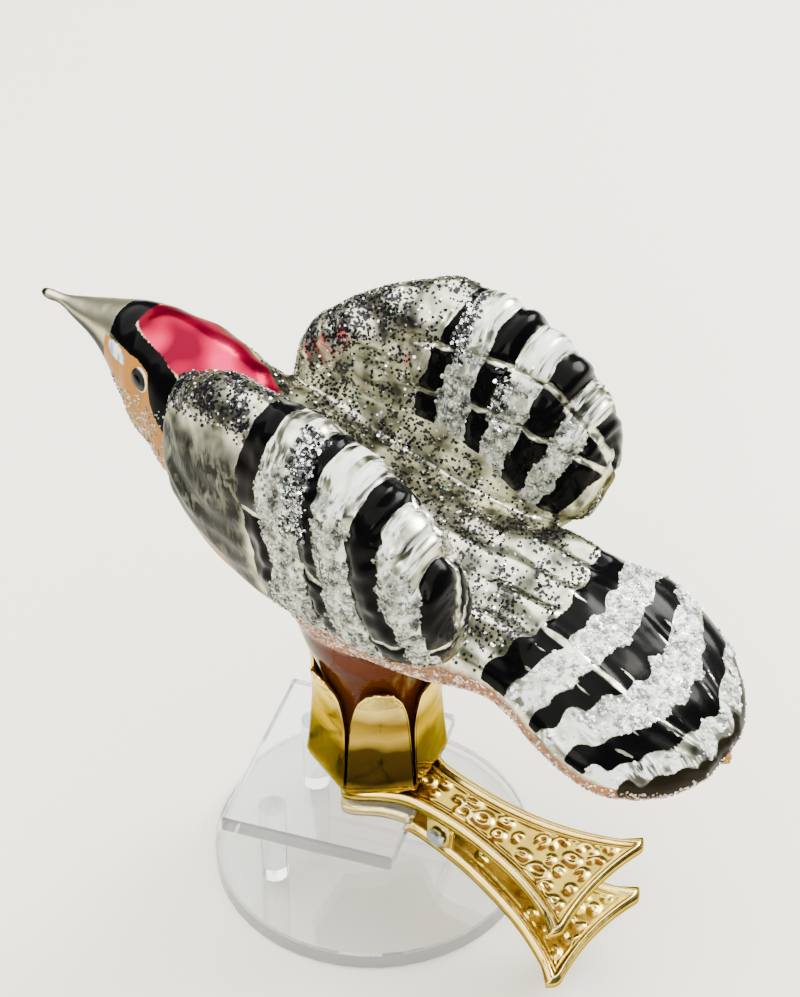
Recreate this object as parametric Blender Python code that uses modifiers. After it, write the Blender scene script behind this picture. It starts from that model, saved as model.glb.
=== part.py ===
"""A clip-on woodpecker ornament: a mould-blown glass bird whose glass stem sits in a brass collar
of six petals, riveted to a gilt spring clip. The clip grips a short length of clear acrylic sheet,
held up by two rods on a round base.

The bird faces -Y and +Z is up. Stations along the bird are counted forward from the collar's axis,
so that a station s lies at y = -s. Heights of the bird and the clip are counted from the underside
of the collar, which is COLLAR_Z above the floor.
"""

import math

import bmesh
import bpy
import numpy as np
from mathutils import Matrix, Vector

MM = 0.001
GAP = 0.3 * MM

# Driving sizes, in metres.
COLLAR_Z = 20.5 * MM
COLLAR_Y = 0.9 * MM
COLLAR_APOTHEM = 8.8 * MM
COLLAR_HEIGHT = 20.0 * MM
COLLAR_WALL = 0.6 * MM
PETALS = 6
PETAL_TURN = math.radians(7.0)
UPPER_LINE = [(-40.3, -2.7), (-24.0, -2.1), (-8.0, -1.2), (2.6, -1.2)]
LOWER_LINE = [(-40.3, -13.2), (-24.0, -9.6), (-8.0, -5.9), (-4.0, -5.4), (2.6, -5.3)]
CLIP_TURN = math.radians(-4.0)
CLIP_HINGE_STATION = -14.0 * MM
CLIP_HINGE_Z = -4.5 * MM
LEAF_THICKNESS = 0.8 * MM
LEAF_RIM_RISE = 0.5 * MM
LEAF_RIM_WIDTH = 1.1 * MM
WIRE_RADIUS = 0.35 * MM
COIL_RADIUS = 1.6 * MM
PIN_RADIUS = 0.8 * MM
SHEET_TOP_Z = -2.0 * MM
SHEET_THICKNESS = 2.6 * MM
SHEET_SIZE = (30.0 * MM, 25.0 * MM)
SHEET_TURN = math.radians(16.0)
SHEET_BACK_EDGE = 7.9 * MM
BASE_RADIUS = 23.0 * MM
BASE_THICKNESS = 3.0 * MM
ROD_RADIUS = 2.0 * MM

# The bird's lines, each a few (station, height or width) points in millimetres, tail to bill.
BACK_LINE = [(-53.4, 30.4), (-50.5, 33.0), (-45.0, 36.6), (-35.0, 42.4), (-26.0, 45.2), (-12.0, 47.2),
             (2.0, 51.0), (14.0, 55.7), (22.0, 59.0), (30.0, 62.2), (38.0, 62.3), (43.0, 61.1),
             (48.0, 59.6), (52.5, 58.8), (53.8, 58.8), (55.2, 58.6)]
BELLY_LINE = [(-53.4, 28.2), (-50.5, 27.1), (-45.0, 26.8), (-35.0, 30.1), (-26.0, 31.5), (-16.0, 28.6),
              (-6.0, 26.9), (4.0, 26.9), (14.0, 29.6), (23.0, 33.7), (33.0, 42.2), (38.0, 47.8),
              (42.0, 52.7), (45.0, 55.2), (48.5, 56.6), (52.5, 57.5), (53.8, 57.4), (55.2, 57.8)]
HALF_WIDTH = [(-53.4, 4.9), (-51.5, 9.2), (-48.0, 13.4), (-44.0, 16.0), (-38.0, 17.0), (-26.0, 14.4),
              (-8.0, 14.8), (6.0, 13.4), (15.0, 10.5), (27.0, 9.1), (36.0, 7.0), (42.5, 3.9),
              (48.0, 2.1), (52.5, 0.77), (53.8, 0.82), (55.2, 0.41)]
TAIL_END, BILL_TIP = -53.4 * MM, 55.2 * MM
TAIL_START, TAIL_SQUARENESS, BODY_SQUARENESS = -30.0 * MM, 0.82, 0.95

# The planes that part the body: a station and height on the plane, and its lean from upright.
BILL_CUT = (42.2 * MM, 58.6 * MM, math.radians(28.0))
NECK_CUT = (20.0 * MM, 47.0 * MM, math.radians(30.0))
TAIL_CUT = (-28.0 * MM, 40.0 * MM, math.radians(8.0))

# A wing's lines, drawn the same way: its upper and lower outline from the side, and how far its middle
# stands out from the bird's centre line at its foot and at its crest.
WING_TOP = [(-24.7, 49.9), (-24.0, 55.3), (-21.3, 60.3), (-16.8, 65.0), (-10.7, 69.1), (-2.6, 71.2),
            (5.5, 70.6), (12.5, 68.2), (17.6, 64.8), (20.3, 61.4), (21.5, 54.7)]
WING_BOTTOM = [(-24.7, 49.4), (-24.0, 45.5), (-21.4, 42.6), (-16.9, 40.3), (-10.7, 39.1), (-2.6, 38.8),
               (5.6, 39.4), (12.8, 41.6), (17.9, 45.6), (20.5, 48.8), (21.5, 54.3)]
WING_HALF_THICKNESS = [(-24.7, 0.6), (-23.9, 3.4), (-21.3, 5.5), (-10.7, 7.0), (-2.6, 6.9), (5.5, 6.6),
                       (12.5, 6.4), (17.6, 5.4), (20.3, 3.5), (21.5, 0.6)]
WING_FOOT = [(-24.7, 16.9), (-10.7, 15.5), (12.8, 14.0), (21.5, 12.8)]
WING_CREST = [(-24.7, 19.2), (-10.7, 18.4), (-2.6, 17.4), (5.5, 16.0), (12.5, 14.5), (21.5, 12.5)]

# The mould set the left wing's shoulder this much higher and further forward than the outline, and the
# right wing's as much lower and further back.
SHOULDER_LIFT, SHOULDER_REACH, SHOULDER_STATION = 2.5 * MM, 1.4 * MM, 15.0 * MM


def clear_scene():
    for thing in list(bpy.data.objects):
        bpy.data.objects.remove(thing, do_unlink=True)


def collection(name):
    made = bpy.data.collections.new(name)
    bpy.context.scene.collection.children.link(made)
    return made


def material(name, colour, roughness, metallic=0.0):
    mat = bpy.data.materials.new(name)
    mat.use_nodes = True
    shader = mat.node_tree.nodes["Principled BSDF"]
    shader.inputs["Base Color"].default_value = (*colour, 1.0)
    shader.inputs["Roughness"].default_value = roughness
    shader.inputs["Metallic"].default_value = metallic
    return mat


def place(obj, group, parent=None, mat=None):
    """Links an object to a collection, under a parent empty, with its material."""
    for other in list(obj.users_collection):
        other.objects.unlink(obj)
    group.objects.link(obj)
    obj.parent = parent
    if mat:
        obj.data.materials.clear()
        obj.data.materials.append(mat)
    return obj


def empty(name, location, group, parent=None):
    obj = bpy.data.objects.new(name, None)
    obj.location = location
    obj.empty_display_size = 5 * MM
    return place(obj, group, parent)


def line(points, at):
    """A smooth curve through points: cubic pieces whose slopes never overshoot (monotone Hermite)."""
    x, y = np.array(points, float).T * MM
    step, rise = np.diff(x), np.diff(y)
    chord = rise / step
    slope = np.concatenate([chord[:1], (chord[1:] + chord[:-1]) / 2, chord[-1:]])
    turning = np.concatenate([[False], chord[1:] * chord[:-1] <= 0, [False]])
    limit = 3 * np.minimum(np.abs(np.append(chord, chord[-1])), np.abs(np.append(chord[0], chord)))
    slope = np.where(turning, 0, np.sign(slope) * np.minimum(np.abs(slope), limit))
    i = np.clip(np.searchsorted(x, at) - 1, 0, len(step) - 1)
    t = (at - x[i]) / step[i]
    return (y[i] + rise[i] * t * t * (3 - 2 * t)
            + step[i] * t * (1 - t) * (slope[i] * (1 - t) - slope[i + 1] * t))


def superellipse(angle, squareness):
    """Across and up factors of a closed section: 1 is an ellipse, smaller is squarer."""
    cos, sin = np.cos(angle), np.sin(angle)
    return np.sign(cos) * np.abs(cos) ** squareness, np.sign(sin) * np.abs(sin) ** squareness


def loft(name, rings):
    """A closed skin over rings of equal point counts, each end closed by a fan to its centre."""
    count, around = len(rings), len(rings[0])
    bm = bmesh.new()
    rows = [[bm.verts.new(point) for point in ring] for ring in rings]
    for low, high in zip(rows[:-1], rows[1:]):
        for k in range(around):
            bm.faces.new((low[k], low[k - 1], high[k - 1], high[k]))
    for row, ring in ((rows[0], rings[0]), (rows[count - 1], rings[count - 1])):
        centre = bm.verts.new(np.mean(ring, axis=0))
        for k in range(around):
            bm.faces.new((centre, row[k - 1], row[k]))
    bmesh.ops.recalc_face_normals(bm, faces=bm.faces)
    return finished(name, bm)


def finished(name, bm):
    mesh = bpy.data.meshes.new(name)
    bm.to_mesh(mesh)
    bm.free()
    mesh.shade_smooth()
    obj = bpy.data.objects.new(name, mesh)
    bpy.context.scene.collection.objects.link(obj)
    return obj


def boolean(obj, cutter, operation="DIFFERENCE"):
    step = obj.modifiers.new(operation.title(), "BOOLEAN")
    step.operation = operation
    step.solver = "EXACT"
    step.object = cutter


def as_cutter(obj, cutters, parent=None):
    place(obj, cutters, parent)
    obj.hide_render = True
    obj.display_type = "WIRE"
    return obj


def parted(obj, cut, keep_behind, gap=GAP):
    """Cuts a closed mesh at a leaning plane and closes it, half a gap back from the plane."""
    station, height, lean = cut
    forward = Vector((0, -math.cos(lean), math.sin(lean)))
    side = 1 if keep_behind else -1
    point = Vector((0, -station, height)) - side * forward * gap / 2
    bm = bmesh.new()
    bm.from_mesh(obj.data)
    everything = bm.verts[:] + bm.edges[:] + bm.faces[:]
    bmesh.ops.bisect_plane(bm, geom=everything, plane_co=point, plane_no=side * forward,
                           clear_outer=True)
    bmesh.ops.holes_fill(bm, edges=[edge for edge in bm.edges if edge.is_boundary])
    bmesh.ops.recalc_face_normals(bm, faces=bm.faces)
    bm.to_mesh(obj.data)
    bm.free()
    return obj


# ---- the glass bird


def body_stations(first, last, count):
    """Stations from first to last, closer together towards both ends."""
    t = 0.5 - 0.5 * np.cos(np.linspace(0, math.pi, count))
    return first + (last - first) * (0.65 * t + 0.35 * np.linspace(0, 1, count))


def body(name, stations, around=28, grow=0.0):
    """The body from tail to bill: upright superellipse sections between the back and belly lines."""
    top, bottom = line(BACK_LINE, stations) + grow, line(BELLY_LINE, stations) - grow
    width = line(HALF_WIDTH, stations) + grow
    angle = np.linspace(0, 2 * math.pi, around, endpoint=False)
    flat = np.clip((TAIL_START - stations) / (8 * MM), 0, 1)
    rings = []
    for s, high, low, half, f in zip(stations, top, bottom, width, flat):
        squareness = BODY_SQUARENESS + (TAIL_SQUARENESS - BODY_SQUARENESS) * f
        across, up = superellipse(angle, squareness)
        rings.append(np.stack([half * across, np.full(around, -s),
                               (high + low) / 2 + (high - low) / 2 * up], axis=1))
    return loft(name, rings)


def wing(name, side, along=19, around=18):
    """A raised wing: sections that lean between its foot and crest lines, under its side outline."""
    first, last = WING_TOP[0][0] * MM, WING_TOP[-1][0] * MM
    stations = (first + last) / 2 - (last - first) / 2 * np.cos(np.linspace(0, math.pi, along))
    top, bottom = line(WING_TOP, stations), line(WING_BOTTOM, stations)
    thickness = line(WING_HALF_THICKNESS, stations)
    foot, crest = line(WING_FOOT, stations), line(WING_CREST, stations)
    angle = np.linspace(0, 2 * math.pi, around, endpoint=False)
    across, up = superellipse(angle, 0.9)
    rings = []
    for k, s in enumerate(stations):
        x = foot[k] + (crest[k] - foot[k]) * (up + 1) / 2 + thickness[k] * across
        z = (top[k] + bottom[k]) / 2 + (top[k] - bottom[k]) / 2 * up
        share = side * max(s / SHOULDER_STATION, 0.0) * (z - bottom.min()) / (top.max() - bottom.min())
        z = z + SHOULDER_LIFT * share
        y = -s - SHOULDER_REACH * share
        rings.append(np.stack([side * x, y, z], axis=1))
    return loft(name, rings)


def make_bird(group, cutters, frame):
    silver = material("silvered_glass", (0.60, 0.60, 0.52), 0.28, 0.7)
    lacquer = material("crimson_lacquer", (0.70, 0.02, 0.06), 0.22, 0.4)
    grown = as_cutter(body("body_with_clearance", body_stations(-54.0 * MM, 50 * MM, 40), 28, GAP),
                      cutters, frame)
    bill = body("bill", body_stations(35 * MM, BILL_TIP, 12), 16)
    place(parted(bill, BILL_CUT, keep_behind=False), group, frame, silver)
    head = body("head", body_stations(5 * MM, 49 * MM, 17), 24)
    head = parted(parted(head, BILL_CUT, keep_behind=True), NECK_CUT, keep_behind=False)
    place(head, group, frame, lacquer)
    trunk = body("trunk", body_stations(-36 * MM, 34 * MM, 20), 28)
    trunk = parted(parted(trunk, NECK_CUT, keep_behind=True), TAIL_CUT, keep_behind=False)
    place(trunk, group, frame, silver)
    tail = body("tail", body_stations(TAIL_END, -22 * MM, 14), 28)
    place(parted(tail, TAIL_CUT, keep_behind=True), group, frame, silver)
    for side, name in ((1, "wing_left"), (-1, "wing_right")):
        raised = place(wing(name, side), group, frame, silver)
        boolean(raised, grown)
    return grown


def turned(name, profile, steps):
    """A solid of revolution from (radius, height) points listed down its outer side."""
    mesh = bpy.data.meshes.new(name)
    points = [(radius, 0, height) for radius, height in profile]
    mesh.from_pydata(points, [(k, k + 1) for k in range(len(points) - 1)], [])
    obj = bpy.data.objects.new(name, mesh)
    bpy.context.scene.collection.objects.link(obj)
    screw = obj.modifiers.new("Screw", "SCREW")
    screw.steps = screw.render_steps = steps
    screw.use_merge_vertices = True
    screw.merge_threshold = 0.00001
    screw.use_smooth_shade = True
    return obj


def make_stem(group, frame, grown):
    amber = material("amber_glass", (0.35, 0.12, 0.02), 0.08)
    outline = [(0, 36), (11.6, 36), (11.4, 30), (10.4, 25), (8.8, 20.5), (7.6, 16), (7.1, 10), (6.7, 4),
               (5.6, 1.4), (4.0, 0.95), (0, 0.95)]
    stem = turned("stem", [(r * MM, z * MM) for r, z in outline], 32)
    place(stem, group, frame, amber)
    boolean(stem, grown)


# ---- the brass collar


def petal_radius(z, angle, apothem):
    """A hexagon at the folded base that rounds towards the flared tips."""
    fold = (angle - PETAL_TURN) % (math.pi / 3) - math.pi / 6
    hexagon = apothem / np.cos(fold)
    roundness = min(max(z / COLLAR_HEIGHT, 0.0), 1.0) * 0.75
    return hexagon * (1 - roundness) + apothem * 1.03 * roundness


def collar_cup(name, offset, floor_z, top_z, around=72):
    """The cup's outer or inner skin as a closed body, offset inwards from the outside."""
    levels = [(0.0, 0.93), (0.045, 1.0), (0.30, 0.965), (0.60, 0.95), (0.85, 1.0), (1.0, 1.10)]
    angle = np.linspace(0, 2 * math.pi, around, endpoint=False) + PETAL_TURN
    heights = np.array([h for h, _ in levels]) * COLLAR_HEIGHT
    girths = np.array([g for _, g in levels]) * COLLAR_APOTHEM
    wanted = [z for z in heights if floor_z < z < top_z]
    rings = []
    for z in [floor_z, *wanted, top_z]:
        apothem = np.interp(z, heights, girths) - offset
        radius = petal_radius(z, angle, apothem)
        rings.append(np.stack([radius * np.cos(angle), radius * np.sin(angle),
                               np.full(around, z)], axis=1))
    return loft(name, rings)


def petal_slot(name, number):
    """The gap between two petals: narrow at the fold, widening to rounded shoulders at the top."""
    outline = [(0.18, 1.6), (0.30, 9.0), (0.75, 14.5), (1.8, 18.0), (3.4, 20.4), (3.6, 22.0)]
    edge = [(y, z) for y, z in outline] + [(-y, z) for y, z in reversed(outline)]
    bm = bmesh.new()
    near, far = ([bm.verts.new((r * MM, y * MM, z * MM)) for y, z in edge] for r in (5.0, 13.0))
    bm.faces.new(near)
    bm.faces.new(far[::-1])
    for k in range(len(edge)):
        bm.faces.new((near[k], near[k - 1], far[k - 1], far[k]))
    bmesh.ops.recalc_face_normals(bm, faces=bm.faces)
    slot = finished(name, bm)
    slot.rotation_euler.z = PETAL_TURN + number * 2 * math.pi / PETALS
    return slot


def make_collar(group, cutters, frame):
    brass = material("polished_brass", (0.78, 0.60, 0.27), 0.12, 1.0)
    collar = place(collar_cup("collar", 0.0, 0.0, COLLAR_HEIGHT), group, frame, brass)
    hollow = collar_cup("collar_hollow", COLLAR_WALL, COLLAR_WALL, COLLAR_HEIGHT + 1 * MM)
    boolean(collar, as_cutter(hollow, cutters, frame))
    for number in range(PETALS):
        slot = petal_slot(f"petal_slot_{number}", number)
        boolean(collar, as_cutter(slot, cutters, frame))


# ---- the gilt clip


def leaf_half_width(station):
    """The fish-tail plan: a small bow at the jaw, a waist, and a wide flare at the handle."""
    plan = [(-39.5, 11.2), (-36.0, 9.2), (-30.0, 6.6), (-24.0, 5.1), (-16.0, 4.3), (-9.0, 4.7),
            (-5.5, 6.2), (-2.6, 8.2), (-1.0, 8.8), (0.6, 7.6), (1.6, 5.4)]
    return line(plan, station)


def leaf(name, height_line, rim_side, along=30):
    """A stamped leaf: a thin plate with a raised rim. Its ends bow, so stations bend with width."""
    across = np.array([-1.0, -0.86, -0.84, -0.45, 0.0, 0.45, 0.84, 0.86, 1.0])
    travel = np.linspace(0, 1, along)
    stations = (1.6 - 41.1 * travel) * MM
    half = leaf_half_width(stations)
    end = np.clip((travel - 0.80) / 0.20, 0, 1) ** 2
    tip = np.clip((0.10 - travel) / 0.10, 0, 1) ** 2
    rings = []
    for k, s in enumerate(stations):
        x = half[k] * across
        inner = 1 - LEAF_RIM_WIDTH / half[k]
        x[[1, 7]] = np.array([-1, 1]) * half[k] * (inner + 0.02)
        x[[2, 6]] = np.array([-1, 1]) * half[k] * inner
        bow = (1.6 * end[k] + 1.0 * tip[k]) * (1 - across ** 2) * MM
        y = -s - bow
        z = line(height_line, np.clip(-y, -39.5 * MM, 2.6 * MM))
        rim = np.where(np.abs(x) > half[k] * (inner + 0.01), LEAF_RIM_RISE, 0.0)
        if k in (0, along - 1):
            rim[:] = LEAF_RIM_RISE
        high, low = z + LEAF_THICKNESS / 2, z - LEAF_THICKNESS / 2
        high, low = (high + rim, low) if rim_side > 0 else (high, low - rim)
        upper, lower = np.stack([x, y, high], axis=1), np.stack([x, y, low], axis=1)
        rings.append(np.vstack([upper, lower[::-1]]))
    return capped_plate(name, rings)


def capped_plate(name, rings):
    """A closed skin over flat-ended rings, whose end faces are strips between upper and lower edge."""
    bm = bmesh.new()
    rows = [[bm.verts.new(point) for point in ring] for ring in rings]
    around = len(rows[0])
    for low, high in zip(rows[:-1], rows[1:]):
        for k in range(around):
            bm.faces.new((low[k], low[k - 1], high[k - 1], high[k]))
    for row in (rows[0], rows[-1]):
        for k in range(around // 2 - 1):
            bm.faces.new((row[k], row[k + 1], row[around - 2 - k], row[around - 1 - k]))
    bmesh.ops.recalc_face_normals(bm, faces=bm.faces)
    return finished(name, bm)


def plate_with_round_end(name, x_low, x_high, z_root, z_pivot, radius):
    """An ear: a plate across X that runs from its root to a round end about the hinge's axis."""
    turns = [math.pi * k / 10 for k in range(11)]
    up = 1 if z_pivot > z_root else -1
    edge = [(radius * math.cos(t), z_pivot + up * radius * math.sin(t)) for t in turns]
    edge += [(-radius, z_root), (radius, z_root)]
    bm = bmesh.new()
    near, far = ([bm.verts.new((x, y - CLIP_HINGE_STATION, z)) for y, z in edge]
                 for x in (x_low, x_high))
    bm.faces.new(near)
    bm.faces.new(far[::-1])
    for k in range(len(edge)):
        bm.faces.new((near[k], near[k - 1], far[k - 1], far[k]))
    bmesh.ops.recalc_face_normals(bm, faces=bm.faces)
    return finished(name, bm)


def hinge_hole(cutters, frame):
    """A drill along the hinge's axis, a little wider than the pin."""
    bm = bmesh.new()
    turn = Matrix.Rotation(math.pi / 2, 4, "Y")
    at = Matrix.Translation((0, -CLIP_HINGE_STATION, CLIP_HINGE_Z))
    bmesh.ops.create_cone(bm, cap_ends=True, segments=20, radius1=PIN_RADIUS + GAP,
                          radius2=PIN_RADIUS + GAP, depth=14 * MM, matrix=at @ turn)
    return as_cutter(finished("hinge_drill", bm), cutters, frame)


def moved_to_hinge(obj, hinge):
    """Puts a mesh's origin on the hinge axis and parents it to the hinge's empty."""
    obj.data.transform(Matrix.Translation((0, CLIP_HINGE_STATION, -CLIP_HINGE_Z)))
    obj.parent = hinge
    return obj


def make_clip(group, cutters, frame):
    gilt = material("gilt_steel", (0.85, 0.62, 0.22), 0.18, 1.0)
    hinge = empty("clip_hinge", (0, -CLIP_HINGE_STATION, CLIP_HINGE_Z), group, frame)
    drill = hinge_hole(cutters, frame)
    upper = place(leaf("clip_leaf_upper", UPPER_LINE, 1), group, frame, gilt)
    lower = place(leaf("clip_leaf_lower", LOWER_LINE, -1), group, frame, gilt)
    ears = ((upper, "upper", 3.70, 4.25, -1.6), (lower, "lower", 2.80, 3.35, -7.6))
    for leaf_object, word, near, far, root in ears:
        for side, low, high in (("left", near, far), ("right", -far, -near)):
            ear = plate_with_round_end(f"ear_{word}_{side}", low * MM, high * MM, root * MM,
                                       CLIP_HINGE_Z, 1.9 * MM)
            boolean(leaf_object, as_cutter(ear, cutters, frame), "UNION")
        boolean(leaf_object, drill)
    moved_to_hinge(lower, hinge)
    make_pin(group, frame)
    make_springs(group, frame, hinge)


def make_pin(group, frame):
    steel = material("bright_steel", (0.62, 0.60, 0.55), 0.25, 1.0)
    head, shank, reach = 1.5 * MM, PIN_RADIUS, 4.6 * MM
    outline = [(0, reach + 0.6 * MM), (head * 0.7, reach + 0.6 * MM), (head, reach + 0.3 * MM),
               (head, reach), (shank, reach), (shank, -reach), (head, -reach),
               (head, -reach - 0.3 * MM), (head * 0.7, -reach - 0.6 * MM), (0, -reach - 0.6 * MM)]
    pin = turned("clip_pin", outline, 20)
    pin.rotation_euler.y = math.pi / 2
    pin.location = (0, -CLIP_HINGE_STATION, CLIP_HINGE_Z)
    place(pin, group, frame, steel)


def spring_wire(name, points, mat):
    data = bpy.data.curves.new(name, "CURVE")
    data.dimensions = "3D"
    data.bevel_depth = WIRE_RADIUS
    data.bevel_resolution = 1
    data.use_fill_caps = True
    run = data.splines.new("POLY")
    run.points.add(len(points) - 1)
    for point, place_at in zip(run.points, points):
        point.co = (*place_at, 1.0)
    data.materials.append(mat)
    obj = bpy.data.objects.new(name, data)
    bpy.context.scene.collection.objects.link(obj)
    return obj


def coil_points(x_from, x_to, start, turns, per_turn=12):
    """A helix about the hinge's axis, which is the origin here, from an angle in the YZ plane."""
    count = max(2, round(abs(turns) * per_turn) + 1)
    return [(x_from + (x_to - x_from) * t, COIL_RADIUS * math.cos(start + 2 * math.pi * turns * t),
             COIL_RADIUS * math.sin(start + 2 * math.pi * turns * t))
            for t in (k / (count - 1) for k in range(count))]


def make_springs(group, frame, hinge):
    """A torsion spring in its two halves, each with a leg that presses on its own leaf."""
    steel = bpy.data.materials["bright_steel"]
    upper = coil_points(2.2 * MM, -0.9 * MM, math.pi / 2, 3.0)
    upper = [(2.2 * MM, 11.5 * MM, 1.2 * MM), *upper]
    lower = coil_points(-2.1 * MM, -1.75 * MM, -math.pi / 2, -0.5)
    lower = [(-2.1 * MM, 10.0 * MM, -4.1 * MM), *lower]
    first = place(spring_wire("clip_spring_upper", upper, steel), group, frame)
    first.location = (0, -CLIP_HINGE_STATION, CLIP_HINGE_Z)
    place(spring_wire("clip_spring_lower", lower, steel), group, hinge)


# ---- the display


def rounded_block(name, size, edge):
    bm = bmesh.new()
    bmesh.ops.create_cube(bm, size=1.0)
    bmesh.ops.scale(bm, vec=size, verts=bm.verts)
    bmesh.ops.bevel(bm, geom=bm.edges[:], offset=edge, segments=1, affect="EDGES")
    return finished(name, bm)


def make_stand(group):
    acrylic = material("clear_acrylic", (0.92, 0.95, 0.95), 0.03)
    edge = 0.3 * MM
    base = turned("stand_base", [(0, BASE_THICKNESS), (BASE_RADIUS - edge, BASE_THICKNESS),
                                 (BASE_RADIUS, BASE_THICKNESS - edge), (BASE_RADIUS, edge),
                                 (BASE_RADIUS - edge, 0), (0, 0)], 48)
    place(base, group, None, acrylic)
    sheet = rounded_block("stand_sheet", (*SHEET_SIZE, SHEET_THICKNESS), edge)
    sheet_z = COLLAR_Z + SHEET_TOP_Z - SHEET_THICKNESS / 2
    back_edge = COLLAR_Y + SHEET_BACK_EDGE
    turn = Matrix.Rotation(SHEET_TURN, 3, "Z")
    sheet.location = turn @ Vector((0, -SHEET_SIZE[1] / 2, 0)) + Vector((0, back_edge, sheet_z))
    sheet.rotation_euler.z = SHEET_TURN
    place(sheet, group, None, acrylic)
    under = sheet_z - SHEET_THICKNESS / 2 - GAP
    rod_length = under - (BASE_THICKNESS + GAP)
    for side, word in ((1, "left"), (-1, "right")):
        rod = turned(f"stand_rod_{word}", [(0, rod_length), (ROD_RADIUS, rod_length),
                                           (ROD_RADIUS, 0), (0, 0)], 24)
        rod.location = turn @ Vector((side * 9 * MM, -19.5 * MM, 0))
        rod.location.y += back_edge
        rod.location.z = BASE_THICKNESS + GAP
        place(rod, group, None, acrylic)


def main():
    clear_scene()
    group = collection("woodpecker_clip_ornament")
    cutters = collection("cutters")
    frame = empty("ornament_frame", (0, COLLAR_Y, COLLAR_Z), group)
    clip_frame = empty("clip_frame", (0, 0, 0), group, frame)
    clip_frame.rotation_euler.z = CLIP_TURN
    grown = make_bird(group, cutters, frame)
    make_stem(group, frame, grown)
    make_collar(group, cutters, frame)
    make_clip(group, cutters, clip_frame)
    make_stand(group)


main()
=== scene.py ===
import math

import bpy
import numpy as np
from mathutils import Matrix, Vector


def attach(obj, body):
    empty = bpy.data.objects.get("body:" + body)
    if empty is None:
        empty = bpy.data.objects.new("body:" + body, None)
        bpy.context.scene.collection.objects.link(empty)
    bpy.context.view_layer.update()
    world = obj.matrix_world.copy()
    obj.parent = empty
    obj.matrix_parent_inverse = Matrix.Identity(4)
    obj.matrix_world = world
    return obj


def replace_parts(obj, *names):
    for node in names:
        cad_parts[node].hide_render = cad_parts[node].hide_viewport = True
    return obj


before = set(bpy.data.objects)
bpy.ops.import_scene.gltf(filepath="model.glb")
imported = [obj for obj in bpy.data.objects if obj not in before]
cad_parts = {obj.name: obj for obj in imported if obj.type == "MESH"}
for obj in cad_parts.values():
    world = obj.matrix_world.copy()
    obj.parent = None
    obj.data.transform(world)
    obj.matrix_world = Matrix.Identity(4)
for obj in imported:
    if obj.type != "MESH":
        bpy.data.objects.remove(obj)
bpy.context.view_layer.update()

# ---- The view: a 102 mm lens, 400 mm away, looks down at 40 degrees on the ornament from over its left
# tail side.

LOOKS_AT, DISTANCE = Vector((-0.0205, -0.0091, 0.0484)), 0.400
back = Vector((0.6351, 0.4284, 0.6428))
right = Vector((0, 0, 1)).cross(back).normalized()
camera_data = bpy.data.cameras.new("camera")
camera_data.sensor_fit, camera_data.sensor_height, camera_data.lens = "VERTICAL", 36.0, 102.1
camera_data.clip_start, camera_data.clip_end = 0.01, 20.0
camera = bpy.data.objects.new("camera", camera_data)
camera.matrix_world = (Matrix.Translation(LOOKS_AT + DISTANCE * back)
                       @ Matrix((right, back.cross(right), back)).transposed().to_4x4())
bpy.context.collection.objects.link(camera)
bpy.context.scene.camera = camera

# ---- The table and the studio: a matt white table under a wide soft lamp overhead, with two small weak
# lamps at the sides. The sky has a pale horizon and a dark band over it, which gives metal its contrast.


def linear(code):
    """An sRGB hex colour as the linear RGBA that a socket takes."""
    share = np.array([int(code[i:i + 2], 16) for i in (1, 3, 5)]) / 255
    return (*np.where(share <= 0.04045, share / 12.92, ((share + 0.055) / 1.055) ** 2.4).tolist(), 1.0)


def feed(node, sources):
    """Gives a node's inputs, by name, a value, a colour's code or another node's output."""
    for name, source in sources.items():
        if isinstance(source, bpy.types.NodeSocket):
            node.id_data.links.new(source, node.inputs[name])
        else:
            node.inputs[name].default_value = linear(source) if isinstance(source, str) else source


def add(tree, kind, sources=None, stops=(), **settings):
    """Adds a node and returns its outputs. Stops are a colour ramp's places and colours, in order."""
    node = tree.nodes.new("ShaderNode" + kind)
    for name, value in settings.items():
        setattr(node, name, value)
    feed(node, sources or {})
    for number, (at, code) in enumerate(stops):
        stop = node.color_ramp.elements[number] if number < 2 else node.color_ramp.elements.new(at)
        stop.position, stop.color = at, linear(code)
    return node.outputs


def finish(name, **sockets):
    """A material with one Principled shader, whose sockets are set by name. Returns material, tree, shader."""
    made = bpy.data.materials.new(name)
    made.use_nodes = True
    shader = made.node_tree.nodes["Principled BSDF"]
    feed(shader, {socket.replace("_", " "): value for socket, value in sockets.items()})
    return made, made.node_tree, shader


def mottled(name, cells, dark, light, between=(0.0, 1.0), middle=(), detail=2.0, **sockets):
    """A finish whose colour runs from dark to light over soft noise of so many cells a metre."""
    made, tree, shader = finish(name, **sockets)
    noise = add(tree, "TexNoise", {"Vector": add(tree, "TexCoord")["Object"], "Scale": cells, "Detail": detail})
    shade = add(tree, "ValToRGB", {"Fac": noise["Fac"]}, [(between[0], dark), (between[1], light), *middle])
    feed(shader, {"Base Color": shade["Color"]})
    return made


def placed(name, data):
    """A new object of the scene."""
    made = bpy.data.objects.new(name, data)
    bpy.context.collection.objects.link(made)
    return made


def circle(number):
    """So many turns, spaced evenly round a circle."""
    return np.linspace(0, 2 * math.pi, number, endpoint=False)


def round_ring(turn, reach, height):
    """Points at these turns round the z axis, as rows."""
    return np.stack([reach * np.cos(turn), reach * np.sin(turn), height + 0 * turn], -1)


def surface(name, grid, material, slot=None, body="display"):
    """A mesh over a grid of points whose rows are closed rings."""
    rows, columns = grid.shape[:2]
    i, j = np.meshgrid(np.arange(rows - 1), np.arange(columns), indexing="ij")
    here, beside = i * columns + j, i * columns + (j + 1) % columns
    quads = np.stack([here, beside, beside + columns, here + columns], -1)
    return piece(name, grid.reshape(-1, 3), quads.reshape(-1, 4), material, slot, body)


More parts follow.
